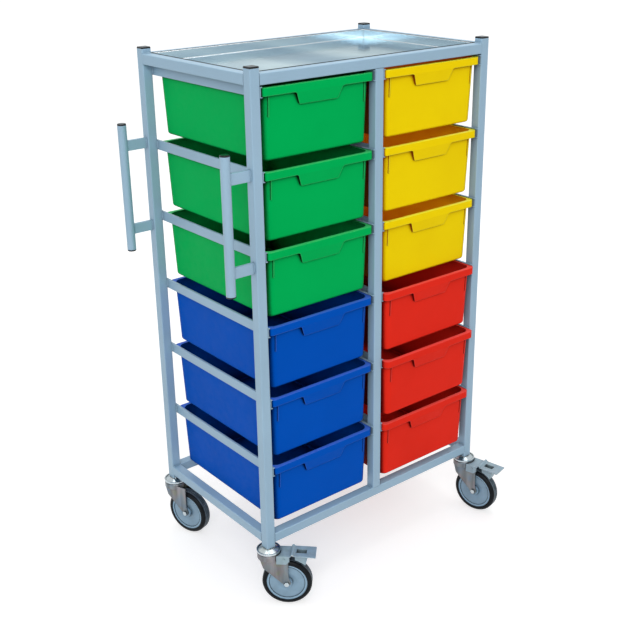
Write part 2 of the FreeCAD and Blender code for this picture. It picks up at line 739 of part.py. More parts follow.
def make_wheel(corner, x, y, turn):
    """A moulded hub with a raised ring and a dished middle, and a tyre round it."""
    hub = new_body(f"caster_hub_{corner}")
    bore = "size.axle_radius + size.running_gap"
    boss = f"{LEG_INSIDE} - size.hub_side_gap"
    face = "size.hub_width / 2"
    ring = f"{HUB_RADIUS} - size.hub_ring"
    groove = f"{ring} - size.hub_groove"
    half = [
        (bore, boss),
        ("size.hub_boss_radius", boss),
        ("size.hub_boss_radius", f"{face} - size.hub_recess - size.hub_dish_depth"),
        ("size.hub_dish_radius", f"{face} - size.hub_recess"),
        (groove, f"{face} - size.hub_recess"),
        (groove, f"{face} - size.hub_groove_depth"),
        (ring, f"{face} - size.hub_groove_depth"),
        (ring, face),
        (HUB_RADIUS, face),
    ]
    section = new_sketch(hub, "section", "XY_Plane")
    outline(section, half + [(radius, f"-({width})") for radius, width in reversed(half)])
    revolve(hub, section)
    place(hub, x, y, "size.wheel_radius", turn)

    tyre = new_body(f"caster_tyre_{corner}")
    section = new_sketch(tyre, "section", "XY_Plane")
    side = "size.tyre_width / 2"
    outline(section, [
        (HUB_RADIUS, f"-{side}"),
        ("size.wheel_radius", f"-{side}"),
        ("size.wheel_radius", side),
        (HUB_RADIUS, side),
    ])
    revolve(tyre, section)
    outside = value("size.wheel_radius")
    round_edges(tyre, "size.tyre_round", lambda edge: is_ring(edge, outside))
    place(tyre, x, y, "size.wheel_radius", turn)


def make_pedal(corner, x, y, turn):
    """A pressed brake pedal on its pin: deep side flanges, a ridge, a slotted tread and a shoe."""
    body = new_body(f"brake_pedal_{corner}")
    plate = new_sketch(body, "plate", "XZ_Plane")
    ridge_top = f"{PEDAL_TOP_Z} + size.ridge_rise"
    top_line = [
        ("0", PEDAL_TOP_Z),
        (RIDGE_X, PEDAL_TOP_Z),
        (f"{RIDGE_X} + size.ridge_slope", ridge_top),
        (f"{RIDGE_X} + size.ridge_slope + size.ridge_length", ridge_top),
        (TREAD_X, f"{PEDAL_TOP_Z} + size.tread_rise"),
        (f"{TREAD_X} + size.tread_length", PEDAL_TOP_Z),
    ]
    outline(plate, top_line + [(px, f"{pz} - size.pedal_sheet") for px, pz in reversed(top_line)])
    pad(body, plate, PEDAL_WIDTH, symmetric=True)
    flange = new_sketch(body, "flange", "XZ_Plane", FLANGE_INSIDE)
    flange_low = f"{PEDAL_TOP_Z} - size.pedal_flange"
    outline(flange, [
        ("0", flange_low),
        (f"{FLANGE_END_X} - size.pedal_flange_slope", flange_low),
        (FLANGE_END_X, f"{flange_low} + size.pedal_flange_slope"),
        (FLANGE_END_X, PEDAL_TOP_Z),
        ("0", PEDAL_TOP_Z),
    ])
    mirror(body, pad(body, flange, "size.pedal_sheet"), "XZ_Plane")

    shoe = new_sketch(body, "shoe", "XZ_Plane")
    shoe_x = f"{TREAD_X} + size.shoe_inset"
    shoe_low = f"{PEDAL_TOP_Z} - size.shoe_reach"
    shoe_end = f"{shoe_x} + size.shoe_top_length"
    outline(shoe, [
        (shoe_x, PEDAL_TOP_Z),
        (shoe_x, shoe_low),
        (f"{shoe_x} + size.shoe_low_length", shoe_low),
        (shoe_end, f"{PEDAL_TOP_Z} - size.shoe_side"),
        (shoe_end, PEDAL_TOP_Z),
    ])
    pad(body, shoe, "size.shoe_width", symmetric=True)
    sweep = new_sketch(body, "wheel_sweep", "XZ_Plane")
    circle(sweep, "size.wheel_radius + size.shoe_gap", "size.caster_trail", "size.wheel_radius")
    pocket(body, sweep, "size.fork_inside", symmetric=True)
    slot = new_sketch(body, "slot", "XY_Plane", ridge_top)
    slot_x = f"{TREAD_X} + size.slot_inset"
    slot_end = f"{slot_x} + size.slot_length"
    half = "size.slot_width / 2"
    outline(slot, [(slot_x, f"-{half}"), (slot_end, f"-{half}"), (slot_end, half), (slot_x, half)])
    pocket(body, slot, "size.ridge_rise + size.slot_depth")
    clear = new_sketch(body, "crown_clearance", "XY_Plane", ridge_top)
    circle(clear, "size.crown_radius + size.pedal_crown_gap")
    pocket(body, clear, "size.ridge_rise + size.shoe_reach")
    pin = new_sketch(body, "pin", "XZ_Plane")
    circle(pin, "size.pivot_pin_radius", PIVOT_X, PIVOT_Z)
    pad(body, pin, f"{PEDAL_WIDTH} + 2 * size.pivot_pin_proud", symmetric=True)
    place(body, x, y, "0", turn)


def make_casters():
    for corner, (side_x, side_y) in CORNER_SIDES.items():
        x = f"{side_x} * {POST_X}"
        y = f"{side_y} * {POST_Y}"
        turn = f"size.swivel_{corner}"
        wheel_x = f"{x} + size.caster_trail * cos({turn} * 1 deg)"
        wheel_y = f"{y} + size.caster_trail * sin({turn} * 1 deg)"
        make_stem(corner, x, y)
        make_fork(corner, x, y, turn)
        make_axle(corner, wheel_x, wheel_y, turn)
        make_wheel(corner, wheel_x, wheel_y, turn)
        if corner in BRAKED_CORNERS:
            make_pedal(corner, x, y, turn)


make_posts()
make_rails()
make_runners("runners_left_outer", f"{HALF_POST} - {POST_X}", 1)
make_runners("runners_left_inner", f"-{HALF_POST}", -1)
make_runners("runners_right_inner", HALF_POST, 1)
make_runners("runners_right_outer", f"{POST_X} - {HALF_POST}", -1)
make_pan()
make_post_caps()
make_handles()
make_trays()
make_casters()
doc.recompute()

# Every object has to be sound before any piece is written
for item in doc.Objects:
    if "Invalid" in item.State or "Error" in item.State:
        raise RuntimeError(f"{item.Name} is not sound: {item.State}")
bodies = doc.findObjects("PartDesign::Body")
for body in bodies:
    if body.Shape.isNull() or not body.Shape.isValid():
        raise RuntimeError(f"{body.Label} has no valid shape")
os.makedirs("parts", exist_ok=True)
for body in bodies:
    body.Shape.exportStep(f"parts/{body.Label}.step")
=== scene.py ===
import json
import math

import bmesh
import bpy
from mathutils import Matrix, Vector


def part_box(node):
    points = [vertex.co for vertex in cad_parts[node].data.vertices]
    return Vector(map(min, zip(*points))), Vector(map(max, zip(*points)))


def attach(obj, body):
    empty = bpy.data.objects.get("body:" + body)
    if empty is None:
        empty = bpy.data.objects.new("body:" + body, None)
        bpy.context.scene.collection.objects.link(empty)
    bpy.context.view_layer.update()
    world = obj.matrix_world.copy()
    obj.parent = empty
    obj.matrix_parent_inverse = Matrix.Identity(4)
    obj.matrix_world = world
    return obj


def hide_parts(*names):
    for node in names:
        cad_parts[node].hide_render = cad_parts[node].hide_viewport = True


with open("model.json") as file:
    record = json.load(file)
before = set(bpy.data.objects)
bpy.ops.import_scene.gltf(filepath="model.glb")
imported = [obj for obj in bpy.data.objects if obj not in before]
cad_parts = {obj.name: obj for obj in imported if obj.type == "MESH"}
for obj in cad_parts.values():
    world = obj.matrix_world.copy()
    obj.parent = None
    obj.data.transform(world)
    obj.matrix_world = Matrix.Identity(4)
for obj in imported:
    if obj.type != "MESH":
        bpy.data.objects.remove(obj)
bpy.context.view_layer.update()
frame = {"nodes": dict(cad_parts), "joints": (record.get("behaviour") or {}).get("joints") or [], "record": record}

# Camera at the viewing angle, in metres, radians and shares of the picture's width
CAMERA_PLACE = (-1.57626, -1.95932, 1.63730)
CAMERA_TURN = (1.201256, 0.014654, -0.678844)
CAMERA_LENS = 58.687
CAMERA_SHIFT_X = -0.00438
CAMERA_SHIFT_Y = -0.0230

# Plain studio: the room's soft light, and what gloss sees of the room at each height
ROOM_LIGHT = 0.6
ROOM_SHINE = (
    (0.0, (0.10, 0.13, 0.15, 1.0)),
    (0.09, (0.40, 0.46, 0.50, 1.0)),
    (0.16, (0.90, 0.97, 1.0, 1.0)),
    (0.5, (1.0, 1.0, 1.0, 1.0)),
)

# Floor: its colour, its glow near the object and far off, the distances of those, and its side in metres
FLOOR_COLOUR = (0.60, 0.60, 0.60, 1.0)
FLOOR_GLOW = (0.58, 0.70)
FLOOR_FADE = (0.7, 3.0)
FLOOR_SIDE = 60.0
FLOOR_CELLS = 8

# Lamps as place, target, side and watts
LAMPS = {
    "key": ((-3.2, -3.6, 3.4), (0.0, 0.0, 0.7), 3.0, 118.0),
    "top": ((0.4, 0.2, 4.6), (0.0, 0.0, 0.8), 3.0, 55.0),
}

# Linear colours of each finish; a tray plastic also has a colour painted as shade inside it, and the strength of a
# painted glow there that stands in for light bounced round inside the tray
PLASTICS = {
    "green_plastic": ((0.0, 0.46, 0.098), (0.003, 0.010, 0.002), 0.0),
    "blue_plastic": ((0.0, 0.090, 0.53), (0.0, 0.004, 0.030), 0.0),
    "yellow_plastic": ((1.0, 0.72, 0.002), (0.36, 0.050, 0.002), 0.17),
    "red_plastic": ((0.86, 0.028, 0.014), (0.13, 0.002, 0.002), 0.06),
}
PAINT = (0.325, 0.49, 0.63)
SHEET = (0.54, 0.625, 0.665)
BRIGHT_ZINC = (0.50, 0.57, 0.60)
DULL_ZINC = (0.20, 0.225, 0.235)
SATIN_ZINC = (0.30, 0.42, 0.49)
HUB = (0.235, 0.37, 0.49)
RUBBER = (0.005, 0.007, 0.009)
# Tread rubber: paler partly from wear and dust, and partly as painted light from above
WORN_AND_LIT_TREAD = (0.085, 0.115, 0.14)
BLACK = (0.004, 0.005, 0.006)

# Shares of red, green and blue in the thin film on zinc: bluish, plain, rosy and olive
PASSIVE_SHARES = ((0.88, 0.96, 1.10), (1.0, 1.0, 1.0), (1.12, 0.96, 0.98), (1.08, 1.06, 0.82))

# Parts whose zinc is duller than the bright heads and axles
ZINC_PARTS = {"caster_fork": "dull_zinc", "brake_pedal": "satin_zinc"}

# How far rounded and flat normals agree, from a full edge to none
EDGE_MATCH = (0.86, 0.995)

# Painted welds, in metres: leg, step along the bead and inset from edges, then the shape of the bead
WELD_LEG = 0.0022
WELD_STEP = 0.0007
WELD_INSET = 0.0015
WELD_RIPPLE = 0.16
WELD_TURN = 2.1
WELD_TAPER = 8.0
WELD_BULGE = 0.12
WELD_SIDES = 4
WELD_STEPS_LEAST = 4
WELD_END = 0.35
WELD_ROOT = 0.25

# Distinct heights of a runner's corners, and the decimals that tell heights in metres apart
LEVELS_PER_RUNNER = 4
HEIGHT_DIGITS = 5

# Where the hub's pale outer ring of painted highlight starts, and the dark strip of painted shadow round the pan,
# in metres
HUB_HIGHLIGHT_RING = (0.0456, 0.0464)
SHADOW_LINE_RADIUS = 0.0012
SHADOW_LINE_STEPS = 8

# Tyres, in metres: steps round, tread lines with their half width and depth, shoulder steps, and a trim
TREAD_STEPS = 160
TREAD_LINES = (-0.0078, -0.0026, 0.0026, 0.0078)
TREAD_LINE_HALF = 0.0009
TREAD_LINE_DEPTH = 0.0018
SHOULDER_STEPS = 7
TYRE_EASE = 0.00001
CROWN_NEAR = 0.00001
SHARP_ANGLE = math.radians(35)


def tint(colour, share):
    """A colour made lighter or darker by a share, as red, green, blue and alpha."""
    return (*(min(1.0, part * share) for part in colour), 1.0)


def add(tree, kind, inputs=None, **settings):
    """Adds a node, sets its properties, then fills or links its inputs by name."""
    node = tree.nodes.new(kind)
    for key, setting in settings.items():
        setattr(node, key, setting)
    for key, item in (inputs or {}).items():
        if isinstance(item, bpy.types.NodeSocket):
            tree.links.new(item, node.inputs[key])
        else:
            node.inputs[key].default_value = item
    return node


def new_material(name):
    """A material with its node tree, its shader and the place on the object."""
    material = bpy.data.materials.new(name)
    material.use_nodes = True
    tree = material.node_tree
    place = add(tree, "ShaderNodeTexCoord").outputs["Object"]
    return material, tree, tree.nodes["Principled BSDF"], place


def noise(tree, place, scale, detail=3.0):
    inputs = {"Vector": place, "Scale": scale, "Detail": detail}
    return add(tree, "ShaderNodeTexNoise", inputs).outputs["Fac"]


def ramp(tree, factor, stops):
    """A colour ramp with the given positions and colours."""
    node = add(tree, "ShaderNodeValToRGB", {"Fac": factor})
    elements = node.color_ramp.elements
    while len(elements) < len(stops):
        elements.new(0.5)
    for element, (position, colour) in zip(elements, stops):
        element.position = position
        element.color = colour
    return node.outputs["Color"]


def span(tree, factor, low, high, start=0.0, end=1.0):
    """Maps a factor between start and end to a number between low and high."""
    inputs = {"Value": factor, "From Min": start, "From Max": end, "To Min": low, "To Max": high}
    return add(tree, "ShaderNodeMapRange", inputs).outputs["Result"]


def blend(tree, factor, first, second):
    """Mixes two colours by a factor."""
    node = add(tree, "ShaderNodeMix", data_type="RGBA")
    sockets = {socket.identifier: socket for socket in node.inputs}
    for key, item in (("Factor_Float", factor), ("A_Color", first), ("B_Color", second)):
        if isinstance(item, bpy.types.NodeSocket):
            tree.links.new(item, sockets[key])
        else:
            sockets[key].default_value = item
    return next(socket for socket in node.outputs if socket.identifier == "Result_Color")


def product(tree, first, second):
    """Two factors multiplied."""
    return add(tree, "ShaderNodeMath", {0: first, 1: second}, operation="MULTIPLY").outputs["Value"]


def upward(tree):
    """How far a face points upward, from -1 to 1."""
    facing = add(tree, "ShaderNodeNewGeometry").outputs["Normal"]
    return add(tree, "ShaderNodeSeparateXYZ", {"Vector": facing}).outputs["Z"]


def soft_edges(tree, radius):
    """Normals that round the sharp edges, and a factor that is 1 along them."""
    rounded = add(tree, "ShaderNodeBevel", {"Radius": radius}, samples=6).outputs["Normal"]
    flat = add(tree, "ShaderNodeNewGeometry").outputs["Normal"]
    match = add(tree, "ShaderNodeVectorMath", operation="DOT_PRODUCT")
    tree.links.new(rounded, match.inputs[0])
    tree.links.new(flat, match.inputs[1])
    return rounded, span(tree, match.outputs["Value"], 1.0, 0.0, *EDGE_MATCH)


def crevices(tree, reach, darkest, closed=0.25, opened=0.9, own=False):
    """A factor from 1 in the open to a darkest share in corners, or only in those of its own solid; where it
    darkens a colour, that darkening is painted shade.
    """
    kind = "ShaderNodeAmbientOcclusion"
    open_share = add(tree, kind, {"Distance": reach}, samples=8, only_local=own).outputs["AO"]
    return span(tree, open_share, darkest, 1.0, closed, opened)


def shaded(tree, colour, factor):
    """A colour darkened by a factor."""
    node = add(tree, "ShaderNodeVectorMath", operation="SCALE")
    tree.links.new(colour, node.inputs[0])
    tree.links.new(factor, node.inputs["Scale"])
    return node.outputs["Vector"]


def bumped(tree, height, depth, normal=None):
    """Normals with a fine relief."""
    inputs = {"Height": height, "Distance": depth}
    if normal:
        inputs["Normal"] = normal
    return add(tree, "ShaderNodeBump", inputs).outputs["Normal"]


def finish_shader(tree, shader, colour, roughness, normal):
    """Links the three inputs that every finish has."""
    tree.links.new(colour, shader.inputs["Base Color"])
    tree.links.new(roughness, shader.inputs["Roughness"])
    tree.links.new(normal, shader.inputs["Normal"])


def moulded_plastic(name, colour, painted_inside_colour, through):
    """Moulded tray plastic: fine grain, scuffs, painted highlights on outer edges, painted light on upward faces,
    and painted shade in corners and inside, with a painted glow inside some colours.
    """
    material, tree, shader, place = new_material(name)
    rounded, edge = soft_edges(tree, 0.0032)
    cloud = noise(tree, place, 7.0, 4.0)
    tone = ramp(tree, cloud, ((0.3, tint(colour, 0.96)), (0.7, tint(colour, 1.03))))
    # Painted highlights: a paler colour, blended in along open outer edges.
    pale = tuple(1.3 * part + 0.055 * (1.0 - part) for part in colour)
    outer = product(tree, edge, crevices(tree, 0.005, 0.0, 0.7, 0.9))
    edged = blend(tree, span(tree, outer, 0.0, 0.85), tone, tint(pale, 1.0))
    # Painted shade: darker in corners.
    cornered = shaded(tree, edged, crevices(tree, 0.010, 0.3, 0.35))
    # Painted shade: where the room is shut out, the colour blends to the colour painted inside the tray.
    outside = crevices(tree, 0.09, 0.0, 0.45, 0.8)
    inside = blend(tree, outside, tint(painted_inside_colour, 1.0), cornered)
    # Painted light: upward faces open to the sky take the paler colour, as if lit from above.
    level = span(tree, upward(tree), 0.0, 1.0, 0.4, 0.8)
    top_light_mask = product(tree, level, crevices(tree, 0.5, 0.0, 0.85, 0.97, own=True))
    top_lightened = blend(tree, top_light_mask, inside, tint(pale, 1.0))
    # Painted glow: the inside of the tray glows in its painted inside colour, standing in for light bounced round
    # within it.
    if through:
        shader.inputs["Emission Color"].default_value = tint(painted_inside_colour, 1.0)
        shut_in = span(tree, crevices(tree, 0.5, 0.0, 0.6, 0.85, own=True), through, 0.0)
        glow = product(tree, shut_in, crevices(tree, 0.012, 0.0, 0.75, 0.95, own=True))
        tree.links.new(glow, shader.inputs["Emission Strength"])
    scuff = noise(tree, place, 60.0, 6.0)
    grain = noise(tree, place, 900.0, 2.0)
    finish_shader(
        tree,
        shader,
        top_lightened,
        span(tree, scuff, 0.34, 0.52, 0.3, 0.7),
        bumped(tree, grain, 0.00006, rounded),
    )
    shader.inputs["Specular IOR Level"].default_value = 0.05
    shader.inputs["Specular Tint"].default_value = tint(colour, 1.0)
    return material


def powder_coat(name, colour):
    """Powder-coat paint: orange-peel ripple, fine speckle, paler edges that are painted highlights, and painted
    shade in corners.
    """
    material, tree, shader, place = new_material(name)
    rounded, edge = soft_edges(tree, 0.0016)
    speckle = noise(tree, place, 1400.0, 1.0)
    cloud = noise(tree, place, 5.0, 3.0)
    tone = ramp(tree, cloud, ((0.3, tint(colour, 0.95)), (0.7, tint(colour, 1.04))))
    flecked = blend(tree, span(tree, speckle, 0.0, 0.25, 0.55, 0.75), tone, tint(colour, 1.25))
    # Painted highlights: paler along the edges.
    edged = blend(tree, span(tree, edge, 0.0, 0.6), flecked, tint(colour, 1.4))
    peel = noise(tree, place, 420.0, 2.0)
    finish_shader(
        tree,
        shader,
        # Painted shade: darker in corners.
        shaded(tree, edged, crevices(tree, 0.02, 0.5)),
        span(tree, cloud, 0.30, 0.42),
        bumped(tree, peel, 0.00012, rounded),
    )
    shader.inputs["Specular IOR Level"].default_value = 0.4
    return material


def bright_sheet(name, colour):
    """Bright rolled sheet: fine lines along its length, bands of gloss, walls painted paler as painted light, and
    painted highlights along the folds.
    """
    material, tree, shader, place = new_material(name)
    rounded, edge = soft_edges(tree, 0.003)
    stretched = add(tree, "ShaderNodeMapping", {"Vector": place, "Scale": (5.0, 700.0, 700.0)})
    lines = noise(tree, stretched.outputs["Vector"], 1.0, 3.0)
    cloud = noise(tree, place, 3.5, 3.0)
    tone = ramp(tree, cloud, ((0.3, tint(colour, 0.72)), (0.7, tint(colour, 1.25))))
    # Painted light: faces that do not point up are made paler.
    walls_painted_lighter = blend(tree, span(tree, upward(tree), 1.0, 0.0, 0.2, 0.8), tone, tint(colour, 1.3))
    # Painted highlights: brighter along folds and edges.
    folds_highlighted = blend(tree, span(tree, edge, 0.0, 0.8), walls_painted_lighter, tint(colour, 1.9))
    broad = add(tree, "ShaderNodeMapping", {"Vector": place, "Scale": (6.0, 1.6, 1.0)})
    band = noise(tree, broad.outputs["Vector"], 1.0, 1.5)
    sheen = ramp(tree, band, ((0.35, (0.47, 0.59, 0.68, 1.0)), (0.62, (0.92, 1.0, 1.0, 1.0))))
    tree.links.new(sheen, shader.inputs["Specular Tint"])
    finish_shader(
        tree,
        shader,
        folds_highlighted,
        span(tree, lines, 0.07, 0.16),
        bumped(tree, lines, 0.000008, rounded),
    )
    shader.inputs["Metallic"].default_value = 0.85
    return material


def zinc_plate(name, colour, streak_and_reflection_depth, roughness, film, metallic=1.0):
    """Zinc-plated pressings: upright bands that are partly rolling marks and partly painted reflection, warm
    passivation, painted shade in corners and painted highlights on edges.
    """
    material, tree, shader, place = new_material(name)
    rounded, edge = soft_edges(tree, 0.0008)
    # Upright bands: partly rolling marks of the plating and partly painted reflection.
    stretched = add(tree, "ShaderNodeMapping", {"Vector": place, "Scale": (60.0, 60.0, 7.0)})
    streak_and_reflection_band = noise(tree, stretched.outputs["Vector"], 1.0, 2.0)
    cloud = noise(tree, place, 26.0, 3.0)
    hues = []
    for shares in PASSIVE_SHARES:
        hue = [part * (1.0 + film * (share - 1.0)) for part, share in zip(colour, shares)]
        hues.append((*hue, 1.0))
    plain = ramp(tree, cloud, list(zip((0.34, 0.46, 0.56, 0.68), hues)))
    tone = shaded(tree, plain, span(tree, streak_and_reflection_band, 1.0 - streak_and_reflection_depth, 1.0 + streak_and_reflection_depth, 0.3, 0.7))
    # Painted highlights: brighter along edges.
    edged = blend(tree, span(tree, edge, 0.0, 0.45), tone, tint(colour, 2.2))
    fine = noise(tree, place, 800.0, 2.0)
    finish_shader(
        tree,
        shader,
        # Painted shade: darker in corners.
        shaded(tree, edged, crevices(tree, 0.016, 0.12)),
        span(tree, cloud, roughness - 0.06, roughness + 0.08, 0.3, 0.7),
        bumped(tree, fine, 0.00003, rounded),
    )
    shader.inputs["Metallic"].default_value = metallic
    return material


def hub_plastic(name, colour, centre, axle):
    """Moulded wheel plastic: a fine grain, dusty tone, painted shade in the grooves, and a pale outer ring and
    edges that are painted highlights.
    """
    material, tree, shader, place = new_material(name)
    kind = "ShaderNodeVectorMath"
    offset = add(tree, kind, {0: place, 1: centre}, operation="SUBTRACT").outputs["Vector"]
    across = add(tree, kind, {0: offset, 1: axle}, operation="CROSS_PRODUCT").outputs["Vector"]
    radius = add(tree, kind, {0: across}, operation="LENGTH").outputs["Value"]
    rounded, edge = soft_edges(tree, 0.0010)
    cloud = noise(tree, place, 30.0, 4.0)
    tone = ramp(tree, cloud, ((0.3, tint(colour, 0.84)), (0.7, tint(colour, 1.12))))
    # Painted highlight: a paler outer ring.
    ring_highlighted = blend(tree, span(tree, radius, 0.0, 0.8, *HUB_HIGHLIGHT_RING), tone, tint(colour, 1.4))
    # Painted highlights: paler along edges.
    edged = blend(tree, span(tree, edge, 0.0, 0.65), ring_highlighted, tint(colour, 1.9))
    grain = noise(tree, place, 1100.0, 2.0)
    finish_shader(
        tree,
        shader,
        # Painted shade: darker in grooves and corners.
        shaded(tree, edged, crevices(tree, 0.006, 0.18)),
        span(tree, cloud, 0.28, 0.44),
        bumped(tree, grain, 0.00004, rounded),
    )
    return material


def tyre_rubber(name, colour):
    """Tyre rubber with a fine dull grain, floor dust and dark tread lines that are painted shade."""
    material, tree, shader, place = new_material(name)
    dust = noise(tree, place, 70.0, 5.0)
    tone = ramp(tree, dust, ((0.35, tint(colour, 0.7)), (0.75, tint(colour, 1.7))))
    grain = noise(tree, place, 1500.0, 2.0)
    finish_shader(
        tree,
        shader,
        # Painted shade: darker in the tread lines and corners.
        shaded(tree, tone, crevices(tree, 0.003, 0.2)),
        span(tree, dust, 0.30, 0.46),
        bumped(tree, grain, 0.00005),
    )
    shader.inputs["Specular IOR Level"].default_value = 0.12
    return material


def cap_plastic(name, colour):
    """Black moulded caps with a fine grain and scuffed edges."""
    material, tree, shader, place = new_material(name)
    rounded, edge = soft_edges(tree, 0.0008)
    cloud = noise(tree, place, 120.0, 4.0)
    tone = ramp(tree, cloud, ((0.3, tint(colour, 0.8)), (0.7, tint(colour, 1.6))))
    edged = blend(tree, span(tree, edge, 0.0, 0.3), tone, tint(colour, 4.0))
    grain = noise(tree, place, 1300.0, 2.0)
    finish_shader(
        tree,
        shader,
        edged,
        span(tree, cloud, 0.14, 0.28),
        bumped(tree, grain, 0.00004, rounded),
    )
    shader.inputs["Specular IOR Level"].default_value = 0.25
    return material


def make_materials():
    """One material for each finish in the record, and more for zinc and rubber on some parts."""
    materials = {slot: moulded_plastic(slot, *colours) for slot, colours in PLASTICS.items()}
    materials["frame_paint"] = powder_coat("frame_paint", PAINT)
    materials["pan_sheet"] = bright_sheet("pan_sheet", SHEET)
    materials["zinc_steel"] = zinc_plate("zinc_steel", BRIGHT_ZINC, 0.08, 0.2, 0.2)
    materials["dull_zinc"] = zinc_plate("dull_zinc", DULL_ZINC, 0.3, 0.38, 1.2)
    materials["satin_zinc"] = zinc_plate("satin_zinc", SATIN_ZINC, 0.12, 0.45, 0.25, 0.2)
    for joint in frame["joints"]:
        if joint["name"].startswith("roll_"):
            node = joint["name"].replace("roll_", "caster_hub_")
            materials[node] = hub_plastic(node, HUB, joint["pos_m"], joint["axis"])
    materials["tyre_rubber"] = tyre_rubber("tyre_rubber", RUBBER)
    materials["worn_rubber"] = tyre_rubber("worn_rubber", WORN_AND_LIT_TREAD)
    materials["black_plastic"] = cap_plastic("black_plastic", BLACK)
    return materials


def dress_nodes(materials):
    """Gives each solid the material made for it, or else that of its finish."""
    for subpart in frame["record"]["subparts"]:
        node = subpart["node"]
        finish = node if node in materials else subpart["material_slot"]
        for start, other in ZINC_PARTS.items():
            if node.startswith(start):
                finish = other
        mesh = frame["nodes"][node].data
        mesh.materials.clear()
        mesh.materials.append(materials[finish])


def bead(form, start, end, first_leg, second_leg):
    """A rippled weld along a corner, with a leg on each of the two faces that meet there."""
    line = end - start
    steps = max(WELD_STEPS_LEAST, round(line.length / WELD_STEP))
    sections = []
    for step in range(steps + 1):
        share = step / steps
        taper = min(1.0, WELD_TAPER * share, WELD_TAPER * (1.0 - share))
        fullness = WELD_END + (1.0 - WELD_END) * taper
        size = WELD_LEG * fullness * (1.0 + WELD_RIPPLE * math.sin(step * WELD_TURN))
        corner = start + line * share
        points = [corner - (first_leg + second_leg) * WELD_LEG * WELD_ROOT]
        for turn in range(WELD_SIDES + 1):
            angle = math.pi / 2 * turn / WELD_SIDES
            reach = size * (1.0 - WELD_BULGE * math.sin(2 * angle))
            points.append(corner + (first_leg * math.cos(angle) + second_leg * math.sin(angle)) * reach)
        sections.append([form.verts.new(point) for point in points])
    for section, following in zip(sections, sections[1:]):
        for here in range(len(section)):
            there = (here + 1) % len(section)
            form.faces.new((section[here], section[there], following[there], following[here]))
    form.faces.new(reversed(sections[0]))
    form.faces.new(sections[-1])


def rail_welds(form):
    """Welds above and below each end of each rail, where it meets a post."""
    for level in ("top", "bottom"):
        for side in ("front", "back", "left", "right"):
            low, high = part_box(f"{level}_rail_{side}")
            long_axis = 0 if side in ("front", "back") else 1
            across = 1 - long_axis
            for end, away in ((low, 1.0), (high, -1.0)):
                first_leg = Vector((0.0, 0.0, 0.0))
                first_leg[long_axis] = away
                for height, rise in ((low.z, -1.0), (high.z, 1.0)):
                    start = Vector((0.0, 0.0, height))
                    start[long_axis] = end[long_axis]
                    start[across] = low[across] + WELD_INSET
                    finish = start.copy()
                    finish[across] = high[across] - WELD_INSET
                    bead(form, start, finish, first_leg, Vector((0.0, 0.0, rise)))


def centre_post_welds(form):
    """Welds on both sides of each end of the centre posts."""
    for side in ("front", "back"):
        low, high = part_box(f"post_{side}_centre")
        for height, rise in ((low.z, 1.0), (high.z, -1.0)):
            for x, away in ((low.x, -1.0), (high.x, 1.0)):
                start = Vector((x, low.y + WELD_INSET, height))
                finish = Vector((x, high.y - WELD_INSET, height))
                bead(form, start, finish, Vector((away, 0.0, 0.0)), Vector((0.0, 0.0, rise)))


def runner_welds(form):
    """An upright weld where each runner crosses the inner edge of a post."""
    runners = {
        "runners_left_outer": (1, "post_front_left", "post_back_left"),
        "runners_left_inner": (-1, "post_front_centre", "post_back_centre"),
        "runners_right_inner": (1, "post_front_centre", "post_back_centre"),
        "runners_right_outer": (-1, "post_front_right", "post_back_right"),
    }
    for node, (side, front_post, back_post) in runners.items():
        low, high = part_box(node)
        face = low.x if side > 0 else high.x
        corners = frame["nodes"][node].data.vertices
        heights = sorted({round(vertex.co.z, HEIGHT_DIGITS) for vertex in corners})
        bottoms = heights[::LEVELS_PER_RUNNER]
        tops = heights[LEVELS_PER_RUNNER - 1::LEVELS_PER_RUNNER]
        for bottom, top in zip(bottoms, tops):
            for post, edge, away in ((front_post, 1, 1.0), (back_post, 0, -1.0)):
                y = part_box(post)[edge].y
                start = Vector((face, y, bottom + WELD_INSET))
                finish = Vector((face, y, top - WELD_INSET))
                bead(form, start, finish, Vector((-float(side), 0.0, 0.0)), Vector((0.0, away, 0.0)))


def stub_welds(form):
    """Upright welds on both sides of each handle stub, where it meets its post."""
    corners = [vertex.co for vertex in frame["nodes"]["handle_stubs"].data.vertices]
    face = max(corner.x for corner in corners)
    on_post = [corner for corner in corners if corner.x > face - WELD_INSET]
    heights = sorted({round(corner.z, HEIGHT_DIGITS) for corner in on_post})
    sides = sorted({round(corner.y, HEIGHT_DIGITS) for corner in on_post})
    for low, high in zip(heights[::2], heights[1::2]):
        for index, y in enumerate(sides):
            away = 1.0 if index % 2 else -1.0
            start = Vector((face, y, low + WELD_INSET))
            finish = Vector((face, y, high - WELD_INSET))
            bead(form, start, finish, Vector((-1.0, 0.0, 0.0)), Vector((0.0, away, 0.0)))


def make_welds(materials):
    """All the frame's painted welds as one piece."""
    form = bmesh.new()
    rail_welds(form)
    centre_post_welds(form)
    runner_welds(form)
    stub_welds(form)
    bmesh.ops.recalc_face_normals(form, faces=form.faces)
    mesh = bpy.data.meshes.new("weld_beads")
    form.to_mesh(mesh)
    form.free()
    mesh.shade_smooth()
    mesh.materials.append(materials["frame_paint"])
    piece = bpy.data.objects.new("weld_beads", mesh)
    bpy.context.scene.collection.objects.link(piece)
    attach(piece, "frame")


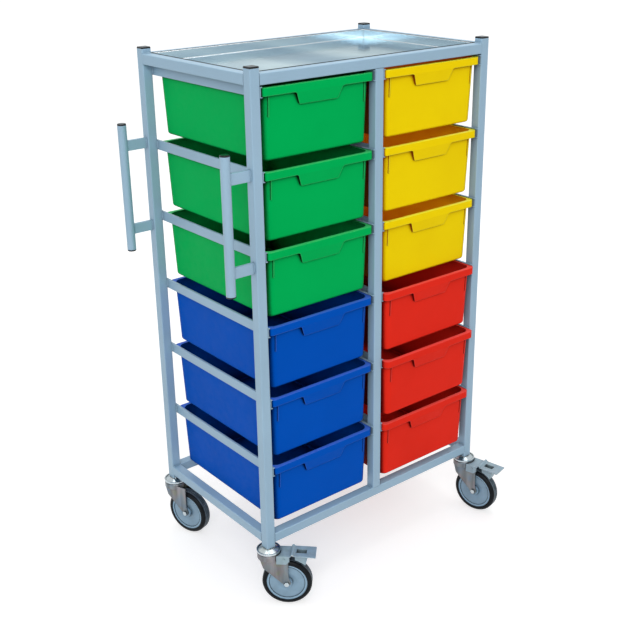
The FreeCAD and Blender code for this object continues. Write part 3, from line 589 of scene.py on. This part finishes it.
def make_shadow_line(materials):
    """A dark half-round strip round the pan where it meets the rails: painted shadow standing in for the shade in
    the gap there.
    """
    low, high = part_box("top_pan")
    corners = [(low.x, low.y), (high.x, low.y), (high.x, high.y), (low.x, high.y)]
    middle = (low + high) / 2
    form = bmesh.new()
    rings = []
    for x, y in corners:
        out = Vector((math.copysign(1.0, x - middle.x), math.copysign(1.0, y - middle.y), 0.0))
        ring = []
        for step in range(SHADOW_LINE_STEPS + 1):
            angle = math.pi * step / SHADOW_LINE_STEPS
            place = Vector((x, y, high.z + SHADOW_LINE_RADIUS * math.sin(angle)))
            ring.append(form.verts.new(place + out * SHADOW_LINE_RADIUS * math.cos(angle)))
        rings.append(ring)
    for ring, following in zip(rings, rings[1:] + rings[:1]):
        for here in range(SHADOW_LINE_STEPS + 1):
            there = (here + 1) % (SHADOW_LINE_STEPS + 1)
            form.faces.new((ring[here], ring[there], following[there], following[here]))
    bmesh.ops.recalc_face_normals(form, faces=form.faces)
    mesh = bpy.data.meshes.new("pan_shadow_line")
    form.to_mesh(mesh)
    form.free()
    # Painted shadow: the strip is black.
    mesh.materials.append(materials["black_plastic"])
    piece = bpy.data.objects.new("pan_shadow_line", mesh)
    bpy.context.scene.collection.objects.link(piece)
    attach(piece, "frame")


def tyre_section(half_width, bore, radius, shoulder):
    """The tyre's section as points along and out from the axle, with lines cut round the tread."""
    points = [(-half_width, bore)]
    for step in range(SHOULDER_STEPS + 1):
        angle = math.pi / 2 * step / SHOULDER_STEPS
        along = half_width - shoulder + shoulder * math.cos(angle)
        points.append((-along, radius - shoulder + shoulder * math.sin(angle)))
    for line in TREAD_LINES:
        points.append((line - TREAD_LINE_HALF, radius))
        points.append((line - TREAD_LINE_HALF / 2, radius - TREAD_LINE_DEPTH))
        points.append((line + TREAD_LINE_HALF / 2, radius - TREAD_LINE_DEPTH))
        points.append((line + TREAD_LINE_HALF, radius))
    for step in range(SHOULDER_STEPS, -1, -1):
        angle = math.pi / 2 * step / SHOULDER_STEPS
        along = half_width - shoulder + shoulder * math.cos(angle)
        points.append((along, radius - shoulder + shoulder * math.sin(angle)))
    points.append((half_width, bore))
    return points


def lathe(name, section, steps, tread):
    """Turns a closed section round the Y axis; the faces of the tread's points take the second material."""
    form = bmesh.new()
    rings = []
    for step in range(steps):
        angle = 2 * math.pi * step / steps
        ring = []
        for along, out in section:
            ring.append(form.verts.new((out * math.cos(angle), along, out * math.sin(angle))))
        rings.append(ring)
    for ring, following in zip(rings, rings[1:] + rings[:1]):
        for here in range(len(section)):
            there = (here + 1) % len(section)
            face = form.faces.new((ring[here], ring[there], following[there], following[here]))
            face.material_index = int(here in tread)
    bmesh.ops.recalc_face_normals(form, faces=form.faces)
    mesh = bpy.data.meshes.new(name)
    form.to_mesh(mesh)
    form.free()
    mesh.shade_smooth()
    mesh.set_sharp_from_angle(angle=SHARP_ANGLE)
    piece = bpy.data.objects.new(name, mesh)
    bpy.context.scene.collection.objects.link(piece)
    return piece


def make_tyres(materials):
    """A treaded tyre in place of each plain one, turned on its own axle."""
    for joint in frame["joints"]:
        if not joint["name"].startswith("roll_"):
            continue
        corner = joint["name"].removeprefix("roll_")
        node = f"caster_tyre_{corner}"
        centre = Vector(joint["pos_m"])
        axle = Vector(joint["axis"]).normalized()
        points = [vertex.co - centre for vertex in frame["nodes"][node].data.vertices]
        along = [point.dot(axle) for point in points]
        out = [(point - axle * reach).length for point, reach in zip(points, along)]
        outermost = max(out)
        crown = max(reach for reach, distance in zip(along, out) if distance > outermost - CROWN_NEAR)
        half_width = max(along)
        section = tyre_section(half_width, min(out), outermost - TYRE_EASE, half_width - crown)
        tread = range(SHOULDER_STEPS, len(section) - SHOULDER_STEPS - 1)
        tyre = lathe(f"tyre_{corner}", section, TREAD_STEPS, tread)
        turn = Vector((0.0, 1.0, 0.0)).rotation_difference(axle).to_matrix().to_4x4()
        tyre.data.transform(Matrix.Translation(centre) @ turn)
        tyre.data.materials.append(materials["tyre_rubber"])
        # The tread faces take the paler tread rubber: partly wear and dust, partly painted light from above.
        tyre.data.materials.append(materials["worn_rubber"])
        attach(tyre, joint["child"])
        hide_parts(node)


def seen_directly(tree):
    """1 for rays that show the room itself: from the camera, off metal and through glass."""
    path = add(tree, "ShaderNodeLightPath").outputs
    glossy = add(tree, "ShaderNodeMath", operation="MAXIMUM")
    tree.links.new(path["Is Camera Ray"], glossy.inputs[0])
    tree.links.new(path["Is Glossy Ray"], glossy.inputs[1])
    clear = add(tree, "ShaderNodeMath", operation="MAXIMUM")
    tree.links.new(glossy.outputs["Value"], clear.inputs[0])
    tree.links.new(path["Is Transmission Ray"], clear.inputs[1])
    return clear.outputs["Value"]


def make_room():
    """A white room: plain where it is seen, softer as light, and darker low down in the object's gloss."""
    world = bpy.data.worlds.new("room")
    world.use_nodes = True
    bpy.context.scene.world = world
    tree = world.node_tree
    background = tree.nodes["Background"]
    place = add(tree, "ShaderNodeTexCoord").outputs["Generated"]
    height = add(tree, "ShaderNodeSeparateXYZ", {"Vector": place}).outputs["Z"]
    shine = ramp(tree, height, ROOM_SHINE)
    glossy = add(tree, "ShaderNodeLightPath").outputs["Is Glossy Ray"]
    tree.links.new(blend(tree, glossy, (1.0, 1.0, 1.0, 1.0), shine), background.inputs["Color"])
    tree.links.new(span(tree, seen_directly(tree), ROOM_LIGHT, 1.0), background.inputs["Strength"])


def make_floor():
    """A plain pale floor that keeps the object's shadow."""
    form = bmesh.new()
    bmesh.ops.create_grid(form, x_segments=FLOOR_CELLS, y_segments=FLOOR_CELLS, size=FLOOR_SIDE / 2)
    mesh = bpy.data.meshes.new("floor")
    form.to_mesh(mesh)
    form.free()
    floor = bpy.data.objects.new("floor", mesh)
    bpy.context.scene.collection.objects.link(floor)
    material, tree, shader, place = new_material("floor")
    shader.inputs["Base Color"].default_value = FLOOR_COLOUR
    shader.inputs["Roughness"].default_value = 1.0
    shader.inputs["Specular IOR Level"].default_value = 0.0
    shader.inputs["Emission Color"].default_value = (1.0, 1.0, 1.0, 1.0)
    away = add(tree, "ShaderNodeVectorMath", {0: place}, operation="LENGTH").outputs["Value"]
    glow = product(tree, span(tree, away, *FLOOR_GLOW, *FLOOR_FADE), seen_directly(tree))
    tree.links.new(glow, shader.inputs["Emission Strength"])
    mesh.materials.append(material)


def make_lamps():
    """Square area lamps, each aimed at its target."""
    for name, (place, target, side, watts) in LAMPS.items():
        lamp = bpy.data.lights.new(name, "AREA")
        lamp.shape = "SQUARE"
        lamp.size = side
        lamp.energy = watts
        holder = bpy.data.objects.new(name, lamp)
        bpy.context.scene.collection.objects.link(holder)
        holder.location = place
        aim = Vector(target) - Vector(place)
        holder.rotation_euler = aim.to_track_quat("-Z", "Y").to_euler()


def make_camera():
    """The camera at the viewing angle."""
    lens = bpy.data.cameras.new("camera")
    lens.lens = CAMERA_LENS
    lens.shift_x = CAMERA_SHIFT_X
    lens.shift_y = CAMERA_SHIFT_Y
    camera = bpy.data.objects.new("camera", lens)
    bpy.context.scene.collection.objects.link(camera)
    camera.location = CAMERA_PLACE
    camera.rotation_euler = CAMERA_TURN
    bpy.context.scene.camera = camera


finishes = make_materials()
dress_nodes(finishes)
make_tyres(finishes)
make_welds(finishes)
make_shadow_line(finishes)
make_room()
make_floor()
make_lamps()
make_camera()
bpy.context.scene.view_settings.view_transform = "Standard"
